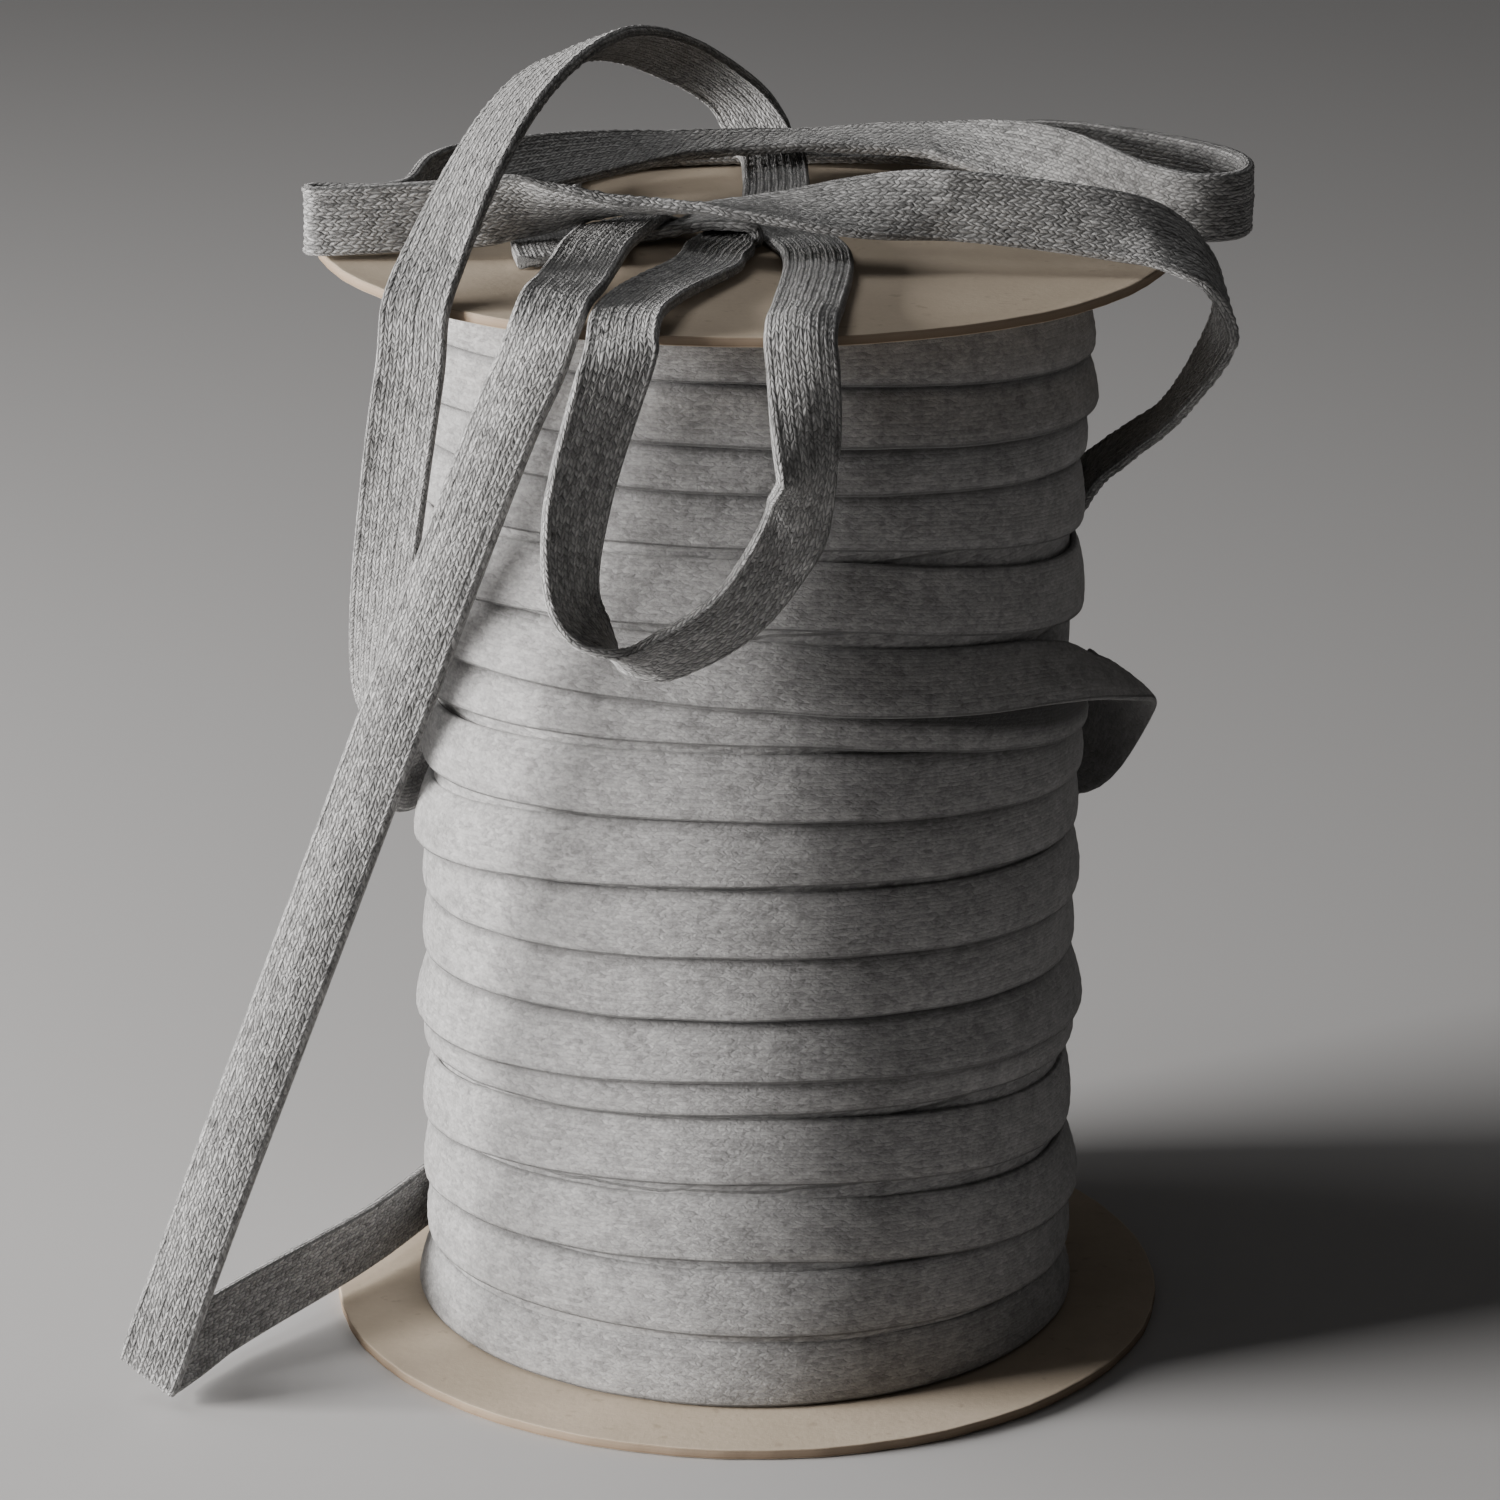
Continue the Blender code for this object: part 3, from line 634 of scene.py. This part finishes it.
def add_mesh(name, verts, faces, mat, strip=None, painted_shade_share=None):
    """A smooth piece from points in millimetres and faces that all have the same number of corners."""
    mesh = bpy.data.meshes.new(name)
    verts = np.asarray(verts, dtype=np.float32)
    faces = np.asarray(faces, dtype=np.int32)
    mesh.vertices.add(len(verts))
    mesh.vertices.foreach_set("co", (verts * MM).ravel())
    corners = faces.shape[1]
    mesh.loops.add(faces.size)
    mesh.loops.foreach_set("vertex_index", faces.ravel())
    mesh.polygons.add(len(faces))
    mesh.polygons.foreach_set("loop_start", np.arange(0, faces.size, corners, dtype=np.int32))
    mesh.update(calc_edges=True)
    if strip is not None:
        layer = mesh.attributes.new("strip", "FLOAT_VECTOR", "POINT")
        layer.data.foreach_set("vector", np.asarray(strip, dtype=np.float32).ravel())
    # share of painted shade for each point, darkening its colour
    if painted_shade_share is not None:
        layer = mesh.attributes.new("painted_shade_share", "FLOAT", "POINT")
        layer.data.foreach_set("value", np.asarray(painted_shade_share, dtype=np.float32))
    mesh.shade_smooth()
    mesh.materials.append(mat)
    piece = bpy.data.objects.new(name, mesh)
    bpy.context.scene.collection.objects.link(piece)
    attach(piece, "root")
    return piece


def tube_faces(rows, columns, first=0):
    """Four-cornered faces between rings of points that follow each other, from point first on."""
    row, column = np.meshgrid(np.arange(rows - 1), np.arange(columns), indexing="ij")
    after = (column + 1) % columns
    faces = np.stack([row * columns + column, (row + 1) * columns + column,
                      (row + 1) * columns + after, row * columns + after], -1)
    return first + faces.reshape(-1, 4)


def cap_faces(centre, first, columns):
    """Four-cornered faces from a centre point to a ring of points that starts at point first."""
    a = np.arange(0, columns, 2)
    return np.stack([np.full_like(a, centre), first + a, first + (a + 1) % columns,
                     first + (a + 2) % columns], -1)


def section(form):
    """Outline of the cord's cross-section: across in half widths, depth in millimetres, the
    distance round it in millimetres from the middle of its upper face, the number of the rib, and
    how far that point rises with a stitch (from -1 on the lower face to 1 on the upper)."""
    deep, ribs = CORD_THICKNESS / 2, form["ribs"]
    count = RIBS * RIB_POINTS
    u = np.linspace(-1, 1, count + 1)[1:-1]
    ribbed = np.abs(np.sin(math.pi * (u + 1) / 2 * RIBS)) ** RIB_POWER * ribs
    selvage = form["rim"] * np.exp(-((np.abs(u) - RIM_PLACE) / RIM_SPREAD) ** 2)
    upper = (deep - ribs) * (1 - form["crown"] * np.abs(u) ** 4) + ribbed + selvage
    turn = np.linspace(0, math.pi, EDGE_POINTS + 2)[1:-1]
    edge_deep = upper[-1] * EDGE_DEPTH
    outer = [(EDGE_START + (1 - EDGE_START) * math.sin(a), edge_deep * math.cos(a)) for a in turn]
    outline = list(zip(u, upper)) + outer
    if form["ribs_below"]:
        outline += list(zip(u[::-1], -upper[::-1]))
    else:
        outline += [(a, -deep * PLAIN_DEPTH) for a in PLAIN_POINTS]
    outline += [(-a, -d) for a, d in outer]
    outline = np.array(outline)
    across, depth = outline.T
    flat = outline * (CORD_WIDTH / 2, 1.0)
    round_it = running(np.linalg.norm(np.diff(flat, axis=0, append=flat[:1]), axis=1))[:-1]
    rib = (across + 1) / 2 * RIBS
    rise = np.sin(math.pi * (rib % 1.0)) * np.sign(depth) * (np.abs(across) < STITCHED)
    return np.column_stack([outline, round_it - round_it[count // 2 - 1], rib, rise])


def sweep(name, points, across, along, mat, form, width=None, bow=None, groove_shade_painter=None):
    """A flat cord with the given centre line and direction across, closed at both ends.

    form is one of the cord's forms, bow says how far the middle of its width stands out, and the
    shade function gives, from the points of every ring, how much painted shade each gets in a
    groove. Without a width, it is the cord's own, measured square to the centre line.
    """
    ahead = unit(np.gradient(points, axis=0))
    if width is None:
        skew = (ahead * across).sum(axis=1)
        width = CORD_WIDTH / np.sqrt(np.clip(1 - skew ** 2, SKEW_LIMIT, 1))
    normal = unit(np.cross(ahead, across))
    wide, deep, round_it, rib, rise = section(form).T
    row, column = np.arange(len(points))[:, None], rib.astype(int)[None, :]
    uneven = np.random.default_rng(STITCH_SEED).uniform(-1, 1, (len(points), RIBS + 1))
    stitches = (STITCH_STEADY * (1 - 2 * ((row + column) % 2))
                + STITCH_UNEVEN * uneven[row, column])
    depth = deep[None, :] + form["grain"] * stitches * rise[None, :]
    if bow is not None:
        # half of it lifts the middle, and the other half takes the edges back
        depth = depth + bow[:, None] * (0.5 - wide ** 2)
    rings = (points[:, None, :] + across[:, None, :] * ((width / 2)[:, None] * wide)[:, :, None]
             + normal[:, None, :] * depth[:, :, None])
    count, corners = rings.shape[:2]
    last = count - 1

    # the length of its name is the piece's own number
    strip = np.empty((count, corners, 3))
    strip[:, :, 0] = along[:, None]
    strip[:, :, 1] = round_it
    strip[:, :, 2] = len(name)
    strip = np.vstack([strip.reshape(-1, 3), [along[0], 0.0, 0.0], [along[last], 0.0, 0.0]])
    verts = np.vstack([rings.reshape(-1, 3), rings[0].mean(axis=0), rings[last].mean(axis=0)])
    painted_shade_share = None if groove_shade_painter is None else np.append(groove_shade_painter(rings).ravel(), [0.0, 0.0])
    faces = np.vstack([tube_faces(count, corners), cap_faces(count * corners, 0, corners),
                       cap_faces(count * corners + 1, last * corners, corners)[:, ::-1]])
    return add_mesh(name, verts, faces, mat, strip, painted_shade_share)


def smooth_route(step):
    """Samples along a smooth curve through every point of ROUTE: points, across-directions, bow."""
    rows = named_rows(ROUTE_COLUMNS, ROUTE)
    knots = np.array([[row[c] for c in ("x", "y", "z")] for row in rows])
    across = unit(np.array([[row[c] for c in ("across_x", "across_y", "across_z")] for row in rows]))
    curl = np.array([BOW.get(row["stretch"], 0.0) for row in rows])
    ends = np.vstack([2 * knots[0] - knots[1], knots, 2 * knots[-1] - knots[-2]])
    points, widths, bows = [], [], []
    for i in range(len(knots) - 1):
        p0, p1, p2, p3 = ends[i:i + 4]
        t1 = np.linalg.norm(p1 - p0) ** 0.5
        t2 = t1 + np.linalg.norm(p2 - p1) ** 0.5
        t3 = t2 + np.linalg.norm(p3 - p2) ** 0.5
        count = max(1, round(np.linalg.norm(p2 - p1) / step))
        u = np.arange(count)[:, None] / count
        t = t1 + (t2 - t1) * u
        a1 = ((t1 - t) * p0 + t * p1) / t1
        a2 = ((t2 - t) * p1 + (t - t1) * p2) / (t2 - t1)
        a3 = ((t3 - t) * p2 + (t - t2) * p3) / (t3 - t2)
        b1 = ((t2 - t) * a1 + t * a2) / t2
        b2 = ((t3 - t) * a2 + (t - t1) * a3) / (t3 - t1)
        points.append(((t2 - t) * b1 + (t - t1) * b2) / (t2 - t1))
        widths.append(blend(across[i], across[i + 1], u))
        bows.append(blend(curl[i], curl[i + 1], u)[:, 0])
    points.append(knots[-1:])
    widths.append(across[-1:])
    bows.append(curl[-1:])
    return np.vstack(points), unit(np.vstack(widths)), np.concatenate(bows)


def loose_cord(mat):
    """The loose cord, with rings closer together where it bends."""
    points, across, bow = smooth_route(ROUTE_STEP)
    steps = np.linalg.norm(np.diff(points, axis=0), axis=1)
    along = running(steps)
    ahead = unit(np.gradient(points, axis=0))
    bend = np.degrees(np.arccos(np.clip((ahead[1:] * ahead[:-1]).sum(axis=1), -1, 1)))
    cost = running(steps / LOOSE_STEP + bend / LOOSE_TURN)
    count = int(round(cost[-1]))
    where = np.interp(np.linspace(0, cost[-1], count + 1), cost, np.arange(len(cost)))
    low = np.clip(where.astype(int), 0, len(points) - 2)
    share = where - low
    pts = blend(points[low], points[low + 1], share[:, None])
    directions = unit(blend(across[low], across[low + 1], share[:, None]))
    run = blend(along[low], along[low + 1], share)
    curl = blend(bow[low], bow[low + 1], share) + waves(run, "curl")
    piece = sweep("drawstring_loose", pts, directions, run, mat, LOOSE_FORM, bow=curl)
    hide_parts("loose_cord")


def edge_line(turns):
    """Heights of the winding's edge line at every quarter turn, from the lowest left point on."""
    heights = []
    for turn, after in zip(turns, turns[1:]):
        halfway = (turn["right"] + after["left"]) / 2
        heights += [turn["left"], turn["front"], turn["right"], halfway]
    return np.array(heights)


def edge_height(heights, turn):
    """Height of the edge line after so many turns, on a smooth curve through every quarter."""
    # each place needs one height before it and two after it
    quarter = np.clip(np.asarray(turn) * 4, 1.0, len(heights) - 2.001)
    k = quarter.astype(int)
    u = quarter - k
    p0, p1, p2, p3 = heights[k - 1], heights[k], heights[k + 1], heights[k + 2]
    return 0.5 * (2 * p1 + (p2 - p0) * u + (2 * p0 - 5 * p1 + 4 * p2 - p3) * u ** 2
                  + (3 * p1 - p0 - 3 * p2 + p3) * u ** 3)


def slack_turn(s, degrees):
    """Drop and stand-off of the slack turn's edges at the given places, smoothed along the cord."""
    angles, *columns = np.array(SLACK).T
    here = (s >= SLACK_TURN) & (s < SLACK_TURN + 1)
    kernel = np.hanning(SLACK_SMOOTHING)
    kernel /= kernel.sum()
    return [np.convolve(np.where(here, np.interp(degrees, angles, column), 0.0), kernel, mode="same")
            for column in columns]


def winding(mat):
    """The visible turns: one long flat cord wound up the roll, each turn lapped over the last."""
    turns = named_rows(TURN_COLUMNS, TURNS)
    heights = edge_line(turns)
    circumference = 2 * math.pi * BASE_RADIUS
    count = int((WIND_END - WIND_START) * circumference / WIND_STEP)
    s = np.linspace(WIND_START, WIND_END, count)
    degrees = (s % 1.0) * 360.0 - 180.0
    run = (s - WIND_START) * circumference

    # heights of the lower edge, and how far it lies over the turn below
    drop, out_low, out_high = slack_turn(s, degrees)
    low = edge_height(heights, s) + waves(run, "turn height") + waves(run, "fine turn height")
    below = edge_height(heights, s - 1.0) + CORD_WIDTH
    lap = ease(np.clip((below - low) / LAP_RANGE, 0.0, 1.0))
    low -= drop
    steep = np.sqrt(1 + (np.gradient(low) / np.gradient(run)) ** 2)

    # radius of both edges, and height of the upper one from the width that is left
    radius = BASE_RADIUS + waves(run, "turn radius") + waves(run, "fine turn radius")
    fronts = np.arange(len(turns)) + 0.25
    proud, next_proud = (np.interp(place, fronts, [turn["proud"] for turn in turns])
                         for place in (s, s + 1.0))
    r_low = radius + LEAN_OUT + (LAP_OUT + PROUD_LAP * proud) * lap + out_low
    r_high = radius - LEAN_IN - PROUD_ABOVE * next_proud + out_high
    face = CORD_WIDTH * WOUND_WIDTH * np.minimum(steep, STEEPEST)
    high = np.minimum(low + np.sqrt(face ** 2 - (r_low - r_high) ** 2),
                      UPPER_CARD_TOP - CARD_THICKNESS - GAP - WOUND_MARGINS[1])
    low = np.maximum(low, CARD_THICKNESS + GAP + WOUND_MARGINS[0])

    a = np.radians(degrees)
    out = np.stack([np.cos(a), np.sin(a), np.zeros_like(a)], -1)
    bottom = out * r_low[:, None] + np.stack([0 * a, 0 * a, low], -1)
    top = out * r_high[:, None] + np.stack([0 * a, 0 * a, high], -1)
    edge_above = edge_height(heights, s + 1.0)

    def groove_shade_painter(rings):
        """Painted shade for each point in a groove: under the next turn's edge, at the foot over the
        turn below, or on the side that faces the roll."""
        height = rings[:, :, 2]
        under = np.clip(1 - (edge_above[:, None] - height) / UNDER_REACH, 0, 1) ** UNDER_POWER
        under *= (UNDER_PAINTED_SHADE + UNDER_PROUD * next_proud)[:, None]
        foot = FOOT_PAINTED_SHADE * np.clip(1 - (height - low[:, None]) / FOOT_REACH, 0, 1)
        share = np.clip((height - low[:, None]) / (high - low)[:, None], 0, 1)
        middle = blend(r_low[:, None], r_high[:, None], share)
        inside = INSIDE_PAINTED_SHADE * (np.hypot(rings[:, :, 0], rings[:, :, 1]) < middle - INSIDE_MARGIN)
        return np.maximum(np.maximum(under, foot), inside)

    piece = sweep("winding_turns", (bottom + top) / 2, unit(top - bottom), run, mat, WOUND_FORM,
                  width=np.linalg.norm(top - bottom, axis=1), bow=TURN_BOW + waves(run, "turn bow"),
                  groove_shade_painter=groove_shade_painter)
    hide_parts("winding")


def inner_turns(mat):
    """The layer under the visible turns, seen only between them."""
    z = np.linspace(CARD_THICKNESS + GAP + LAYER_MARGINS[0],
                    UPPER_CARD_TOP - CARD_THICKNESS - GAP - LAYER_MARGINS[1], LAYER_ROWS)
    angle = np.linspace(0, 2 * math.pi, LAYER_COLUMNS, endpoint=False)
    zz, aa = np.meshgrid(z, angle, indexing="ij")
    phase = (zz / LAYER_PITCH - aa / (2 * math.pi)) % 1.0
    radius = LAYER_RADIUS + LAYER_SWELL * np.sin(math.pi * phase) ** 0.5
    grid = np.stack([radius * np.cos(aa), radius * np.sin(aa), zz], -1).reshape(-1, 3)
    strip = np.stack([aa * LAYER_RADIUS, (phase - 0.5) * CORD_WIDTH, 0 * aa], -1).reshape(-1, 3)
    points = len(grid)
    grid = np.vstack([grid, [[0, 0, z[0]], [0, 0, z[-1]]]])
    strip = np.vstack([strip, np.zeros((2, 3))])
    faces = np.vstack([
        tube_faces(LAYER_ROWS, LAYER_COLUMNS)[:, TURNED],
        cap_faces(points, 0, LAYER_COLUMNS)[:, TURNED],
        cap_faces(points + 1, points - LAYER_COLUMNS, LAYER_COLUMNS),
    ])
    piece = add_mesh("winding_inner", grid, faces, mat, strip)
    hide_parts("winding")


def ripples(angle, table, phase):
    """Sum of even waves round a card, by height, number of waves and share of the phase."""
    return sum(height * np.sin(number * angle + share * phase) for height, number, share in table)


def card(name, node, radius, centre_x, top, slope, mat, phase, waviness):
    """A cut card disc: slightly wavy face, pressed layers and a small burr on its edge.

    Its face waves more towards the rim, and the burr is felt only near it.
    """
    angle = np.linspace(0, 2 * math.pi, CARD_COLUMNS, endpoint=False)
    inner = np.linspace(0.0, FACE_REACH, FACE_RINGS + 1)[1:]
    rings = [(r * radius, 0.0) for r in inner]
    rings += [(radius - inset, z) for inset, z in EDGE_PROFILE]
    rings += [(r * radius, -CARD_THICKNESS) for r in inner[::-1]]
    wave = ripples(angle, FACE_RIPPLES, phase)
    cut = ripples(angle, CUT_RIPPLES, phase)
    verts = [[centre_x, 0.0, top]]
    for r, z in rings:
        share = r / radius
        reach = r + cut * share ** 8
        y = reach * np.sin(angle)
        rise = wave * share ** 2 * waviness
        verts.append(np.stack([centre_x + reach * np.cos(angle), y, top + z + slope * y + rise], -1))
    verts = np.vstack([*verts, [centre_x, 0.0, top - CARD_THICKNESS]])
    last = len(verts) - 1
    faces = np.vstack([
        tube_faces(len(rings), CARD_COLUMNS, 1),
        cap_faces(0, 1, CARD_COLUMNS),
        cap_faces(last, last - CARD_COLUMNS, CARD_COLUMNS)[:, TURNED],
    ])
    piece = add_mesh(name, verts, faces, mat)
    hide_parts(node)


def set_camera():
    pitch, roll = math.radians(CAMERA_PITCH), math.radians(CAMERA_ROLL)
    ahead = Vector((0.0, math.cos(pitch), -math.sin(pitch)))
    right = Vector((1.0, 0.0, 0.0))
    up = right.cross(ahead)
    turned_right = math.cos(roll) * right + math.sin(roll) * up
    turned_up = -math.sin(roll) * right + math.cos(roll) * up
    axes = Matrix((turned_right, turned_up, -ahead)).transposed()
    data = bpy.data.cameras.new("camera")
    data.sensor_fit = "HORIZONTAL"
    data.sensor_width = SENSOR_WIDTH
    data.lens = CAMERA_LENS
    data.clip_end = CLIP_END
    camera = bpy.data.objects.new("camera", data)
    camera.matrix_world = Matrix.Translation(CAMERA_PLACE) @ axes.to_4x4()
    bpy.context.scene.collection.objects.link(camera)
    bpy.context.scene.camera = camera


def light(name, place, target, size, power, colour):
    data = bpy.data.lights.new(name, "AREA")
    data.shape = "RECTANGLE"
    data.size, data.size_y = size
    data.energy = power
    data.color = colour
    lamp = bpy.data.objects.new(name, data)
    lamp.location = place
    lamp.rotation_euler = (Vector(target) - Vector(place)).to_track_quat("-Z", "Y").to_euler()
    bpy.context.scene.collection.objects.link(lamp)


def studio():
    bpy.ops.mesh.primitive_plane_add(size=FLOOR_SIZE, location=FLOOR_PLACE)
    floor = bpy.context.object
    floor.name = "floor"
    floor.data.materials.append(floor_material())
    world = bpy.data.worlds.new("studio")
    bpy.context.scene.world = world
    world.use_nodes = True
    background = world.node_tree.nodes["Background"]
    background.inputs["Color"].default_value = tinted(WORLD_COLOUR)
    background.inputs["Strength"].default_value = WORLD_STRENGTH
    for lamp in LIGHTS:
        light(*lamp)


set_camera()
cord = cord_material("marl braid", **LOOSE_LOOK)
wound = cord_material("wound marl braid", **WOUND_LOOK)
paper = card_material("grey-beige card", CARD_COLOUR, CARD_DEEP_COLOUR)
loose_cord(cord)
winding(wound)
inner_turns(wound)
card("card_upper", "flange_top", UPPER_CARD_RADIUS, UPPER_CARD_X, UPPER_CARD_TOP,
     UPPER_CARD_SLOPE, paper, phase=1.0, waviness=1.0)
card("card_lower", "flange_bottom", LOWER_CARD_RADIUS, 0.0, CARD_THICKNESS, 0.0, paper,
     phase=2.3, waviness=0.3)
studio()
